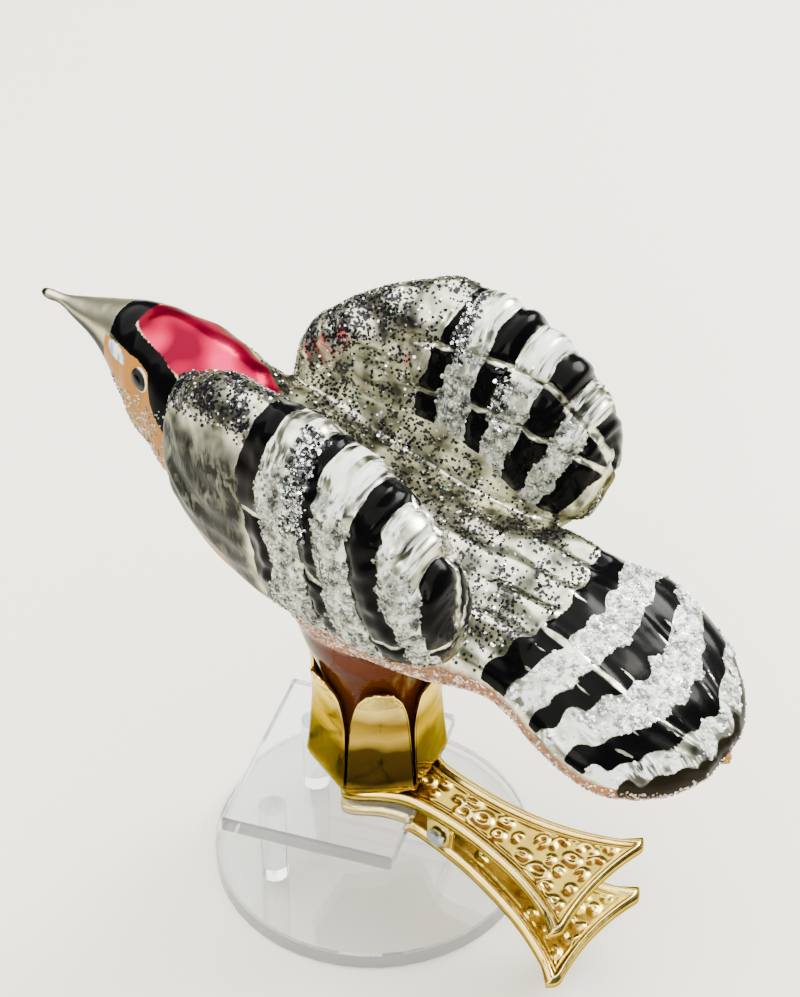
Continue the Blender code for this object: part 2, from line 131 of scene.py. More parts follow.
def piece(name, points, faces, material, slot=None, body="display", smooth=True):
    """A mesh object made from points and faces of one size. It rides on a body when a slot is given, and
    is left loose in the scene when none is."""
    mesh = bpy.data.meshes.new(name)
    mesh.vertices.add(len(points))
    mesh.vertices.foreach_set("co", np.asarray(points, np.float32).ravel())
    mesh.loops.add(faces.size)
    mesh.loops.foreach_set("vertex_index", faces.astype(np.int32).ravel())
    mesh.polygons.add(len(faces))
    mesh.polygons.foreach_set("loop_start", np.arange(0, faces.size, faces.shape[1], dtype=np.int32))
    mesh.polygons.foreach_set("use_smooth", np.full(len(faces), smooth))
    mesh.update(calc_edges=True)
    mesh.materials.append(material)
    made = placed(name, mesh)
    if slot:
        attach(made, body)
    return made


# Matt paint scatters light evenly. Its white drifts a little over 170 mm, so that it isn't a flat colour.
table_paint = mottled("matt_white_table", 6.0, "#EBE8D8", "#F1EFE0", detail=3.0, Roughness=0.75)
ring, turn = np.meshgrid([0.0, 0.3, 1.0, 3.0], circle(64), indexing="ij")
surface("table", round_ring(turn, ring, -0.0002)[::-1], table_paint)

world = bpy.data.worlds.new("studio")
bpy.context.scene.world = world
world.use_nodes = True
tree = world.node_tree
sky = tree.nodes["Background"]
way = add(tree, "SeparateXYZ", {"Vector": add(tree, "TexCoord")["Generated"]})
rise = add(tree, "MapRange", {"Value": way["Z"], "From Min": -1.0})[0]
rise = add(tree, "ValToRGB", {"Fac": rise}, ((0.0, "#B8B6AE"), (0.98, "#9C9B96"), (0.49, "#E9E7DF"),
                                             (0.54, "#55544F"), (0.64, "#3D3C38"), (0.80, "#8A8983")))
feed(sky, {"Color": rise["Color"], "Strength": 0.8})

for name, place, size, power in (("overhead", (0.00, -0.10, 0.95), 2.00, 68.0),
                                 ("window", (-0.60, 0.25, 0.45), 0.30, 10.0),
                                 ("fill", (0.65, 0.30, 0.50), 0.30, 5.0)):
    lamp = bpy.data.lights.new(name, "AREA")
    lamp.size, lamp.energy = size, power
    made = placed(name, lamp)
    made.location = place
    made.rotation_euler = (Vector((0, 0, 0.05)) - Vector(place)).to_track_quat("-Z", "Y").to_euler()

# ---- The glass: one mould-blown bubble makes body, folded wings, tail, bill and stem. It is silvered
# inside and painted outside by hand with enamels and lacquers. Here all of it is one skin.

# Its lines are in millimetres: stations along the bird from tail to bill, and heights over the cup's
# underside. A stem's line is heights and radii.
BACK = ((-53.4, 30.4), (-50.5, 33.0), (-45.0, 36.6), (-35.0, 42.4), (-26.0, 45.2), (-12.0, 47.2), (2.0, 51.0),
        (14.0, 55.7), (22.0, 59.0), (30.0, 62.2), (38.0, 62.3), (43.0, 61.1), (48.0, 59.6), (52.5, 58.8),
        (53.8, 58.8), (55.2, 58.6))
BELLY = ((-53.4, 28.2), (-50.5, 27.1), (-45.0, 26.8), (-35.0, 30.1), (-26.0, 31.5), (-16.0, 28.6), (-6.0, 26.9),
         (4.0, 26.9), (14.0, 29.6), (23.0, 33.7), (33.0, 42.2), (38.0, 47.8), (42.0, 52.7), (45.0, 55.2),
         (48.5, 56.6), (52.5, 57.5), (53.8, 57.4), (55.2, 57.8))
HALF_WIDTH = ((-53.4, 4.9), (-51.5, 9.2), (-48.0, 13.4), (-44.0, 16.0), (-38.0, 17.0), (-26.0, 14.4), (-8.0, 14.8),
              (6.0, 13.4), (15.0, 10.5), (27.0, 9.1), (36.0, 7.0), (42.5, 3.9), (48.0, 2.1), (52.5, 0.77),
              (53.8, 0.82), (55.2, 0.41))
WING_TOP = ((-24.7, 49.9), (-24.0, 55.3), (-21.3, 60.3), (-16.8, 65.0), (-10.7, 69.1), (-2.6, 71.2), (5.5, 70.6),
            (12.5, 68.2), (17.6, 64.8), (20.3, 61.4), (21.5, 54.7))
WING_BOTTOM = ((-24.7, 49.4), (-24.0, 45.5), (-21.4, 42.6), (-16.9, 40.3), (-10.7, 39.1), (-2.6, 38.8), (5.6, 39.4),
               (12.8, 41.6), (17.9, 45.6), (20.5, 48.8), (21.5, 54.3))
WING_THICK = ((-24.7, 0.6), (-23.9, 3.4), (-21.3, 5.5), (-10.7, 7.0), (-2.6, 6.9), (5.5, 6.6), (12.5, 6.4),
              (17.6, 5.4), (20.3, 3.5), (21.5, 0.6))
WING_FOOT = ((-24.7, 16.9), (-10.7, 15.5), (12.8, 14.0), (21.5, 12.8))
WING_CREST = ((-24.7, 19.2), (-10.7, 18.4), (-2.6, 17.4), (5.5, 16.0), (12.5, 14.5), (21.5, 12.5))
STEM = ((0.5, 3.6), (1.4, 5.6), (4.0, 6.7), (10.0, 7.1), (16.0, 7.6), (20.5, 8.8), (25.0, 10.4), (30.0, 11.4),
        (36.0, 11.6))
WING_BASE, WING_TALL = 38.8, 32.4
RAISED, FORWARD, LEAN_FROM = 2.5, 1.4, 15.0  # the left wing's shoulder against the right one's
BLANK_SQUARENESS, WING_POWER = 0.9, 2 / 0.9
FAN_HALF = max(half for _, half in HALF_WIDTH)
AXIS_Y, COLLAR_BASE = 0.9, 20.5  # the stem's axis and the cup's underside in the frame


def line(points, at):
    """A smooth curve through points: cubic pieces whose slopes never overshoot (monotone Hermite)."""
    x, y = np.array(points, float).T
    step, rise = np.diff(x), np.diff(y)
    chord = rise / step
    slope = np.concatenate([chord[:1], (chord[1:] + chord[:-1]) / 2, chord[-1:]])
    turning = np.concatenate([[False], chord[1:] * chord[:-1] <= 0, [False]])
    limit = 3 * np.minimum(np.abs(np.append(chord, chord[-1])), np.abs(np.append(chord[0], chord)))
    slope = np.where(turning, 0, np.sign(slope) * np.minimum(np.abs(slope), limit))
    at = np.clip(at, x[0], x[-1])
    i = np.clip(np.searchsorted(x, at) - 1, 0, len(step) - 1)
    t = (at - x[i]) / step[i]
    return y[i] + rise[i] * t * t * (3 - 2 * t) + step[i] * t * (1 - t) * (slope[i] * (1 - t) - slope[i + 1] * t)


def mid_and_half(top, bottom, at):
    """The middle of two lines, and half the height between them."""
    top, bottom = line(top, at), line(bottom, at)
    return (top + bottom) / 2, (top - bottom) / 2


def meet(a, b, width):
    """The least of two fields, rounded over width where they cross: a fillet."""
    blend = np.clip(0.5 + 0.5 * (b - a) / width, 0, 1)
    return b + (a - b) * blend - width * blend * (1 - blend)


def trunk_squareness(s):
    """0.95 on the body, 0.82 on the flatter tail, blended over 8 mm."""
    return 0.95 - 0.13 * np.clip((-26.0 - s) / 8.0, 0, 1)


def trunk_field(x, s, z):
    """Distance outside the body's sections, in mm, closed at bill tip and tail end. A section is a
    superellipse, and level is a point's distance from its middle as a share of the outline's."""
    middle, rise = mid_and_half(BACK, BELLY, s)
    power = 2 / trunk_squareness(s)
    level = (np.abs(x / line(HALF_WIDTH, s)) ** power + np.abs((z - middle) / rise) ** power) ** (1 / power)
    field = (1 - 1 / np.maximum(level, 0.05)) * np.hypot(x, z - middle)
    return -meet(-field, -np.maximum(s - BACK[-1][0], BACK[0][0] - s), 0.5)


def wing_middle(s, up):
    """How far a wing's middle leans from the stem's axis: its foot's line at up -1, its crest's at up 1."""
    foot, crest = line(WING_FOOT, s), line(WING_CREST, s)
    return foot + (crest - foot) * (up + 1) / 2


def wing_place(side, x, s, z):
    """A point's station on a wing, how far up (-1 to 1) and out of the section's middle it is, and the
    section's height."""
    lean = side * RAISED * np.clip(s / LEAN_FROM, 0, None)
    z = (z + lean * WING_BASE / WING_TALL) / (1 + lean / WING_TALL)
    s = s - FORWARD * lean / RAISED * (z - WING_BASE) / WING_TALL
    middle, rise = mid_and_half(WING_TOP, WING_BOTTOM, s)
    up = (z - middle) / rise
    return s, up, side * x - wing_middle(s, up), 2 * rise


def wing_field(side, x, s, z):
    """Distance outside one wing's sections, in mm, closed at its nose and tip."""
    s, up, out, tall = wing_place(side, x, s, z)
    level = (np.abs(up) ** WING_POWER + np.abs(out / line(WING_THICK, s)) ** WING_POWER) ** (1 / WING_POWER)
    field = (1 - 1 / np.maximum(level, 0.05)) * np.hypot(up * tall / 2, out)
    return -meet(-field, -np.maximum(s - WING_TOP[-1][0], WING_TOP[0][0] - s), 0.5)


def glass_field(points):
    """Distance outside the whole bubble: body, both wings and the stem, with fillets where they join."""
    x, s, z = points.T
    whole = meet(trunk_field(x, s, z), np.minimum(wing_field(1, x, s, z), wing_field(-1, x, s, z)), 3.0)
    stem = np.maximum(np.hypot(x, s) - line(STEM, z), np.maximum(STEM[0][0] - z, z - STEM[-1][0]))
    return meet(whole, stem, 2.5)


def section_rings(widths, tops, bottoms, stations, around):
    """Points round the sections, one row each: half a width times the cosine of the turn, and half a height
    times its sine about the middle, each to the power of the squareness."""
    s, turn = np.meshgrid(stations, circle(around), indexing="ij")
    out, up = (np.sign(part) * np.abs(part) ** BLANK_SQUARENESS for part in (np.cos(turn), np.sin(turn)))
    middle, rise = mid_and_half(tops, bottoms, s)
    return line(widths, s) * out, s, middle + rise * up, up


def bubble_blanks():
    """The lofts of body, wings and stem as grids of rings in millimetres: x, station and height."""
    stations = np.concatenate([np.linspace(BACK[0][0], -30, 60), np.linspace(-29.5, BACK[-1][0], 150)])
    yield np.stack(section_rings(HALF_WIDTH, BACK, BELLY, stations, 72)[:3], -1)
    stations = np.linspace(WING_TOP[0][0], WING_TOP[-1][0], 120)
    for side in (1, -1):
        x, s, z, up = section_rings(WING_THICK, WING_TOP, WING_BOTTOM, stations, 64)
        lift = side * np.clip(s / LEAN_FROM, 0, None) * (z - WING_BASE) / WING_TALL
        yield np.stack([side * (x + wing_middle(s, up)), s + FORWARD * lift, z + RAISED * lift], -1)[::side]
    z, turn = np.meshgrid(np.linspace(STEM[0][0] + 0.1, STEM[-1][0], 60), circle(64), indexing="ij")
    yield round_ring(turn, line(STEM, z), z)


def joined_blanks():
    """One mesh of all the lofts, their end rings closed to a middle point."""
    points, faces, first = [], [], 0
    for grid in bubble_blanks():
        rows, columns = grid.shape[:2]
        j = np.arange(columns)
        last, end = first + (rows - 1) * columns, first + rows * columns + 0 * j
        low = np.stack([end, first + (j + 1) % columns, first + j], -1)
        high = np.stack([end + 1, last + j, last + (j + 1) % columns], -1)
        i, k = np.meshgrid(np.arange(rows - 1), j, indexing="ij")
        a, b = first + i * columns + k, first + i * columns + (k + 1) % columns
        faces += [low, high, np.stack([a, b, b + columns], -1).reshape(-1, 3),
                  np.stack([a, b + columns, a + columns], -1).reshape(-1, 3)]
        points += [grid.reshape(-1, 3), grid[[0, -1]].mean(1)]
        first += rows * columns + 2
    return np.vstack(points), np.vstack(faces)


# The lofts are joined by a voxel remesh of 0.45 mm, and then drawn onto the one smooth field.
VOXEL = 0.45
points, faces = joined_blanks()
blank_mesh = bpy.data.meshes.new("blank")
blank_mesh.from_pydata(points.tolist(), [], faces.tolist())
blank = placed("blank", blank_mesh)
remesh = blank.modifiers.new("one_skin", "REMESH")
remesh.mode, remesh.voxel_size, remesh.adaptivity = "VOXEL", VOXEL, 0.0
skin_mesh = bpy.data.meshes.new_from_object(blank.evaluated_get(bpy.context.evaluated_depsgraph_get()))
bpy.data.objects.remove(blank)
bpy.data.meshes.remove(blank_mesh)
p = np.empty(len(skin_mesh.vertices) * 3, np.float32)
skin_mesh.vertices.foreach_get("co", p)
p = p.reshape(-1, 3).astype(float)
edges = np.empty(len(skin_mesh.edges) * 2, np.int32)
skin_mesh.edges.foreach_get("vertices", edges)
edges = edges.reshape(-1, 2)
count = np.bincount(edges.ravel(), minlength=len(p))[:, None]


def neighbours(values):
    """The mean of each vertex's neighbours."""
    total = np.zeros_like(values)
    np.add.at(total, edges[:, 0], values[edges[:, 1]])
    np.add.at(total, edges[:, 1], values[edges[:, 0]])
    return total / count


def slope_of(field, points, step=0.02):
    """The gradient of a field by central differences."""
    axes = np.eye(3) * step
    return np.stack([(field(points + axis) - field(points - axis)) / (2 * step) for axis in axes], -1)


for _ in range(5):
    p = p + 0.6 * (neighbours(p) - p)
    level, slope = glass_field(p), slope_of(glass_field, p)
    push = level / np.maximum((slope ** 2).sum(1), 0.25)
    p = p - np.clip(push, -0.6, 0.6)[:, None] * slope
normal = slope_of(glass_field, p)
normal /= np.linalg.norm(normal, axis=1)[:, None] + 1e-9

x, s, z = p.T
on_trunk, on_wing = trunk_field(x, s, z), {side: wing_field(side, x, s, z) for side in (1, -1)}
on_stem = np.maximum(np.hypot(x, s) - line(STEM, z), z - STEM[-1][0])
trunk_middle, trunk_rise = mid_and_half(BACK, BELLY, s)
trunk_up = (z - trunk_middle) / trunk_rise


def within(value, low, high):
    """How far inside an interval a value is, in its own unit; negative outside."""
    return np.minimum(value - low, high - value)


def ease(value, low, high):
    """0 below low, 1 above high, and smooth between."""
    t = np.clip((value - low) / (high - low), 0, 1)
    return t * t * (3 - 2 * t)


# The paint on each wing: boundaries between bars, from the front, at these shares of the wing's height. The
# bars between them are black and white by turns, with black first and last.
SHARES = np.array([0.2, 0.4, 0.6, 0.8, 1.0])
LEFT_BARS = ((3.0, 3.5, 5.0, 5.5, 4.0), (1.5, 0.2, 2.3, 2.5, 1.0), (-6.0, -5.0, -4.6, -4.6, -5.2),
             (-8.8, -8.2, -7.2, -6.7, -7.2), (-15.5, -14.0, -12.7, -12.0, -12.8),
             (-19.9, -19.5, -17.0, -16.6, -16.0), (-23.3, -23.0, -22.5, -22.1, -21.3),
             (-25.0, -25.0, -25.0, -25.0, -25.0))
RIGHT_BARS = ((0.5, 0.4, 0.0, -1.5, -3.6), (-2.6, -2.8, -3.2, -4.6, -4.6), (-6.0, -7.0, -7.6, -8.2, -9.2),
              (-8.5, -9.4, -10.4, -11.6, -12.8), (-12.0, -13.0, -14.6, -15.8, -16.6),
              (-15.0, -16.4, -18.4, -19.4, -20.2), (-17.2, -19.8, -21.2, -22.4, -23.0),
              (-20.8, -23.0, -24.2, -25.0, -25.0))
# A paint's value at a point is how far inside its edge the point is, in mm. Glitter, sugar and smoke are
# shares, and relief is mm. Across and along are a brush's own directions, in mm.
UNPAINTED = -9.0
black, white, bare, tan = (np.full(len(p), UNPAINTED) for _ in range(4))
smoke, relief, glitter, sugar, coarse, wing_share = (np.zeros(len(p)) for _ in range(6))
across, along = s, z


def lumps(u, v, size, seed, stretch=1.0):
    """Soft irregular lumps of about a size in mm: a sum of waves in random directions, about -1 to 1."""
    rng = np.random.default_rng(seed)
    total = np.zeros_like(u)
    for _ in range(7):
        turn, phase, pitch = rng.uniform(0, 2 * math.pi), rng.uniform(0, 2 * math.pi), rng.uniform(0.7, 1.5)
        total += np.sin(2 * math.pi * (u * math.cos(turn) / stretch + v * math.sin(turn)) * pitch / size + phase)
    return total / 3


for side, bars in ((1, LEFT_BARS), (-1, RIGHT_BARS)):
    ws, up, out, tall = wing_place(side, x, s, z)
    t = (up + 1) / 2
    owned = ease(on_trunk - on_wing[side], -0.4, 0.8) * (on_wing[side] < 1.5)
    here = owned > 0.02
    inner = out < 0
    wavy = 0.22 * lumps(ws, t * tall, 3.5, 73 + side)
    edge = [np.interp(np.clip(t, 0, 1), SHARES, bar) + wavy for bar in bars]
    floor_inner = np.interp(-ws, (0.0, 5.0, 10.0, 15.0, 22.0), (0.50, 0.48, 0.43, 0.31, 0.13))
    floor = np.where(inner, floor_inner, 0.07)
    height = (t - floor) * tall
    groove_low = np.where(inner, np.interp(-ws, (0.0, 5.0, 14.0, 24.0), (0.62, 0.63, 0.67, 0.72)),
                          np.interp(-ws, (-4.0, 1.0, 5.0, 10.0, 16.0), (0.60, 0.57, 0.49, 0.41, 0.30)))
    groove_high = np.where(inner, np.interp(-ws, (3.0, 9.0, 13.0, 17.0), (0.83, 0.86, 0.89, 0.93)), 2.0)
    groove = np.minimum(np.abs(t - groove_low), np.abs(t - groove_high)) * tall
    dark = np.max([within(ws, edge[k + 1], edge[k]) for k in (0, 2, 4, 6)], axis=0)
    light = np.max([within(ws, edge[k + 1], edge[k]) for k in (1, 3, 5)], axis=0)
    black = np.where(here, np.minimum(dark, height), black)
    white = np.where(here, np.minimum(light, height), white)
    bare = np.where(here & (ws < 5), 0.32 - groove, bare)
    wing_share = np.maximum(wing_share, owned)
    across, along = np.where(here, ws, across), np.where(here, t * tall, along)
    barred = ease(-ws, -4.0, -1.0) * ease(height, 0.0, 2.0) * owned
    nearest = np.min([np.abs(ws - e) for e in edge[:7]], axis=0)
    relief += barred * (0.45 * ease(nearest, 0.0, 1.4) - 0.55 * np.exp(-(groove / 0.45) ** 2))
    relief += barred * 0.16 * lumps(ws, t * tall, 3.6, 11 + side)
    shoulder = ease(ws, -3.0, 3.0) * owned * np.where(inner, 1.0, ease(0.95 - t, 0.0, 0.2))
    relief += np.where(inner, 0.42, 0.30) * shoulder * lumps(ws, t * tall, 5.0, 21 + side, 2.6)
    smoke = np.maximum(smoke, owned * ease(ws, 3.5, 5.5) * (1 - inner) * (1 - ease(t, 0.74, 0.90)))
    glitter = np.maximum(glitter, owned * ease(ws, edge[0] - 0.3, edge[0] + 0.5)
                         * np.where(inner, 1.0, ease(t, 0.84, 0.93)))
    glitter = np.maximum(glitter, owned * inner * ease(floor - t, 0.0, 0.05))
    glitter *= 1 + 2.2 * owned * ease(t, 0.76, 0.93) * ease(ws, 3.0, 7.0)
    sugar = np.maximum(sugar, owned * (white > 0.0) * ease(0.93 - t, 0.0, 0.16))
    if side > 0:
        banked = within(ws, -5.8, -2.4) > 0
    else:
        banked = (within(ws, -5.9, -4.0) > 0) & (t >= 0.8) | (within(ws, -12.8, -10.6) > 0) & (t >= 0.6) & (t <= 0.86)
    coarse = np.maximum(coarse, owned * banked * (t > 0.62) * (inner == (side < 0)))
    front = within(ws, 17.5 - 12 * ease(0.34 - t, 0.0, 0.34), 30.0)
    tan = np.where(here & ~inner, np.minimum(front, (0.16 - t) * tall), tan)
    foot = within(t * tall, -3.0, 2.0 - 0.5 * np.sin(ws / 2.2))
    tan = np.where(here & ~inner & (ws < 3.0), np.minimum(foot, ws + 12.0), tan)

# The tail fans out: bars across it bow towards its tip, each a station on the centre line and its bow. Ridges
# run along it, each a place across the fan where it is widest, and a height in mm.
TAIL = ((-30.2, 0.022), (-33.6, 0.0165), (-38.0, 0.014), (-42.1, 0.021), (-47.0, 0.026), (-50.3, 0.028),
        (-52.9, 0.030))
trunk_only = wing_share < 0.5
behind, fan = trunk_only & (s < -20), s < -27.0
bands = [station + bow * x ** 2 + 0.5 * lumps(x, s, 4.2, 72) for station, bow in TAIL]
dark = np.max([within(s, bands[k + 1], bands[k]) for k in (0, 2, 4)], axis=0)
light = np.max([within(s, bands[k + 1], bands[k]) for k in (1, 3, 5)], axis=0)
upper = (trunk_up - 0.12) * trunk_rise
black = np.where(behind, np.minimum(dark, upper), black)
white = np.where(behind, np.minimum(light, upper), white)
spread = x / line(HALF_WIDTH, s) * FAN_HALF
VANES = ((-13.0, 0.10), (-8.0, 0.14), (-5.2, 0.24), (-1.2, 0.10), (3.4, 0.12), (6.4, 0.42), (9.6, 0.12),
         (13.2, 0.20))
nearest = np.min([np.abs(spread - v) for v, _ in VANES], axis=0)
ridges = np.max([high * 0.75 * np.exp(-((spread - v) / 0.9) ** 2) for v, high in VANES], axis=0)
on_tail = trunk_only * ease(-s, 28.0, 32.0) * ease(trunk_up, 0.1, 0.4)
relief += on_tail * (ridges + 0.12 * lumps(x, s, 8.0, 31))
main = np.abs(spread - 6.4 - 0.10 * (s + 36.0)) + 0.35 * ease(np.abs(s + 36.0), 4.0, 7.0)
broken = np.sin(0.9 * s + 2.3 * np.round(spread)) * 0.55 - 0.30
bare = np.where(trunk_only & (s < -28), np.maximum(0.55 - main, broken - nearest), bare)
across, along = np.where(behind, x, across), np.where(behind, s, along)
sugar = np.maximum(sugar, 0.4 * trunk_only * (s < -25) * (white > 0.1) * (bare < 0.0))
caked = np.where(fan, ease(lumps(x, s, 2.4, 74), -0.6, 0.5), 1)
sugar *= 0.12 + ease(lumps(across, along, 4.0, 71), -0.4, 0.8) * caked
sugar *= np.where(trunk_only & fan, 1 - 0.85 * ease(spread + 1.5 * lumps(x, s, 5.0, 75), 9.5, 12.5), 1)
sugar *= np.where(trunk_only & (s < bands[5] + 0.3), 0.3, 1)

# The tail ends in a nub, 1 mm high and 2 mm across, where the bubble was sealed.
knob = np.hypot(x + 0.7, z - 28.2) - UNPAINTED * (s > -51.0)
relief += np.exp(-(knob / 0.8) ** 2)

# Back and rump: bare silver under glitter, with folds that fan out towards the tail.
on_back = trunk_only * ease(trunk_up, 0.15, 0.4) * within(s, -30.3, 27.0).clip(0, 1)
folds = lumps(s, spread, 5.5, 41, 3.2)
relief += on_back * (0.46 * ease(-s, 4.0, 14.0) + 0.16 * ease(14.0 - s, 0.0, 6.0)) * folds

# The head: a black mask and nape stripe, a crimson crown on a cream ground, white nasal spots, tan cheeks.
on_head = trunk_only & (s > 12)
mask_top = np.interp(s, (27.3, 30.0, 33.0, 36.0, 36.9, 37.3), (58.7, 60.1, 60.9, 61.5, 61.9, 70.0))
mask_low = np.interp(s, (27.3, 29.5, 30.7, 31.8, 34.0, 37.0, 40.1), (50.5, 53.0, 55.2, 57.9, 59.1, 59.3, 59.8))
mask = np.minimum(within(z, mask_low, mask_top), within(s, 27.2, 40.1))
crown = np.interp(s, (14.0, 17.0, 20.0, 25.0, 27.0, 30.0, 33.0, 36.0, 37.4),
                  (0.0, 1.6, 3.0, 5.0, 6.6, 6.4, 5.3, 3.7, 2.2)) - np.abs(x + 0.8)
crown = np.minimum(np.minimum(crown, z - mask_top.clip(0, 62) + 2.2 * (s < 27.2)), within(s, 13.0, 37.4))
nose = 0.9 - 0.9 * np.hypot((s - 38.2 - 0.3 * (z - 58.4)) / 2.0, (z - 58.4 + 0.12 * (38.2 - s)) / 0.95)
cream = np.minimum(within(s, 26.5, 37.0), z - mask_top + 0.3)
cheek = np.minimum(within(s, 26.4 - 2.2 * ease(53.0 - z, 0.0, 4.0), 40.9), 59.4 - z)
crimson = np.where(on_head, crown, UNPAINTED)
black = np.where(on_head, mask, black)
white = np.where(on_head, nose, white)
cream = np.where(on_head, cream, UNPAINTED)
tan = np.where(on_head, cheek, tan)
bill = on_head * ease(s, 40.0, 40.2)
# Painted shade: the bill's lower side gets a near-black coat, standing in for the dark reflection under it.
bill_underside_shade = bill * (1 - ease(trunk_up, 0.05, 0.5))
umber = np.where(trunk_only, np.maximum(bands[6] - s, s - 54.1), UNPAINTED)
tan = np.where(knob < 2.0, 1.0 - knob, tan)
solid = np.maximum(sugar * np.where(fan, 3.0, 1.0), on_head * (nose > -0.3))
relief += on_head * ease(39.0 - s, 0.0, 4.0) * 0.22 * lumps(s, x, 7.0, 51)
glitter = np.maximum(glitter, on_back * (s < 26.5) * (s > bands[0]) * (crimson < -0.4))
glitter *= 0.25 + 1.5 * ease(lumps(x + s, z - s, 9.0, 61), -0.8, 0.9)
grain = on_head * (tan > 0.3) * ease(s, 27.0, 30.0) * ease(40.5 - s, 0.0, 2.0) * (z < 54.5)

# Breast, belly and the tail's underside are peach; the stem is amber.
peach = np.where(trunk_only & (s < 27.0), (0.05 - trunk_up) * 6.0, UNPAINTED)
amber = np.minimum(6.0 - on_stem, 29.0 - z)
belly_grain = trunk_only * (peach > 0.2) * (amber < -0.5) * ease(trunk_up, -0.95, -0.6)
p = p + relief[:, None] * normal
skin_points = np.stack([p[:, 0], AXIS_Y - p[:, 1], p[:, 2] + COLLAR_BASE], -1) / 1000
skin_mesh.vertices.foreach_set("co", skin_points.astype(np.float32).ravel())
skin_mesh.flip_normals()
skin_mesh.polygons.foreach_set("use_smooth", np.ones(len(skin_mesh.polygons), bool))
skin_mesh.name = "glass_skin"
paint = dict(black=black, white=white, crimson=crimson, cream=cream, tan=tan, peach=peach, amber=amber, bare=bare,
             smoke=smoke, sugar=sugar.clip(0, 1), solid=solid.clip(0, 1), bill=bill, bill_underside_shade=bill_underside_shade,
             umber=umber, across=across, along=along)


def mark(mesh, name, values):
    """Stores a value for each vertex, under a name that a material reads."""
    mesh.attributes.new(name, "FLOAT", "POINT").data.foreach_set("value", values.astype(np.float32).ravel())


for name, values in paint.items():
    mark(skin_mesh, name, values)

# Silvered glass is a mirror film seen through slightly hazed glass, so it is metallic, satin and warm grey,
# with cloudy patches of 4 mm. Black and white enamel are opaque and smooth, with edges that ripple each 0.7 mm
# and strokes of the brush 0.3 mm wide and 3 mm long. Lacquer is clear colour that lets the silver shine
# through: ruby in pools of 7 mm, and amber. A noise's scale is its cells a metre where it reads the
# object's place, and cells a millimetre where it reads the brush's directions.
RIPPLES, CLOUDS, POOLS, STROKES, PATCHES = 1400.0, 260.0, 150.0, (3.2, 0.35, 1.0), (0.55, 0.28, 1.0)
silvered, tree, shader = finish("silvered_and_enamelled_glass", Specular_IOR_Level=0.08, Coat_Weight=0.02,
                                Coat_Roughness=0.04, Specular_Tint="#8A8878")
place = add(tree, "TexCoord")["Object"]
layer = {name: add(tree, "Attribute", attribute_name=name)["Fac"] for name in paint}
wobble = add(tree, "TexNoise", {"Vector": place, "Scale": RIPPLES, "Detail": 3.0})["Fac"]
lie = add(tree, "CombineXYZ", {"X": layer["across"], "Y": layer["along"]})[0]
brush_way = add(tree, "Mapping", {"Vector": lie, "Scale": STROKES})[0]
brush = add(tree, "TexNoise", {"Vector": brush_way, "Scale": 1.0, "Detail": 4.0, "Roughness": 0.6,
                               "Distortion": 0.7})["Fac"]
cloud = add(tree, "TexNoise", {"Vector": place, "Scale": CLOUDS, "Detail": 2.0})["Fac"]
shaken = add(tree, "Math", {0: wobble, 1: brush}, operation="ADD")[0]
shaken = add(tree, "Math", {0: cloud, 1: 2.0, 2: shaken}, operation="MULTIPLY_ADD")[0]


def covered(name, ragged, soft):
    """How far a paint covers: its field, shaken over ragged mm by wobble and brush, crosses 0 in soft mm."""
    moved = add(tree, "Math", {0: shaken, 1: ragged, 2: layer[name]}, operation="MULTIPLY_ADD")[0]
    return add(tree, "MapRange", {"Value": moved, "From Min": 2 * ragged - soft / 2,
                                  "From Max": 2 * ragged + soft / 2})[0]


warm = add(tree, "ValToRGB", {"Fac": cloud}, ((0.34, "#545447"), (0.64, "#DAD9BE")))["Color"]
pool = add(tree, "TexNoise", {"Vector": place, "Scale": POOLS, "Detail": 1.0})["Fac"]
ruby = add(tree, "ValToRGB", {"Fac": pool}, ((0.38, "#62021E"), (0.68, "#C41E50"), (0.54, "#9E0432")))["Color"]
patch_way = add(tree, "Mapping", {"Vector": lie, "Scale": PATCHES})[0]
cells = add(tree, "TexNoise", {"Vector": patch_way, "Scale": 1.0, "Detail": 3.0, "Distortion": 1.6})["Fac"]
chalk = add(tree, "ValToRGB", {"Fac": cells}, ((0.42, "#8296B6"), (0.54, "#DDDED8")))["Color"]
streaked = add(tree, "Math", {0: brush, 1: 0.35, 2: cells}, operation="MULTIPLY_ADD")[0]
streaked = add(tree, "MapRange", {"Value": streaked, "From Min": 0.44, "From Max": 0.74, "To Min": 0.74})[0]
smoky = add(tree, "Math", {0: layer["smoke"], 1: streaked}, operation="MULTIPLY")[0]
bare_share = covered("bare", 0.15, 0.2)
thin = add(tree, "Math", {0: brush, 1: 0.6, 2: cells}, operation="MULTIPLY_ADD")[0]
thin = add(tree, "MapRange", {"Value": thin, "From Min": 0.77, "From Max": 0.88})[0]
thin = add(tree, "Math", {0: thin, 1: layer["solid"]}, operation="MAXIMUM")[0]
unbared = {name: add(tree, "Math", {0: covered(name, ragged, soft), 1: bare_share}, operation="SUBTRACT",
                     use_clamp=True)[0]
           for name, ragged, soft in (("white", 0.45, 0.12), ("black", 0.3, 0.1))}
whitened = add(tree, "Math", {0: unbared["white"], 1: thin}, operation="MULTIPLY")[0]
sugared = add(tree, "Math", {0: whitened, 1: layer["sugar"]}, operation="MULTIPLY")[0]

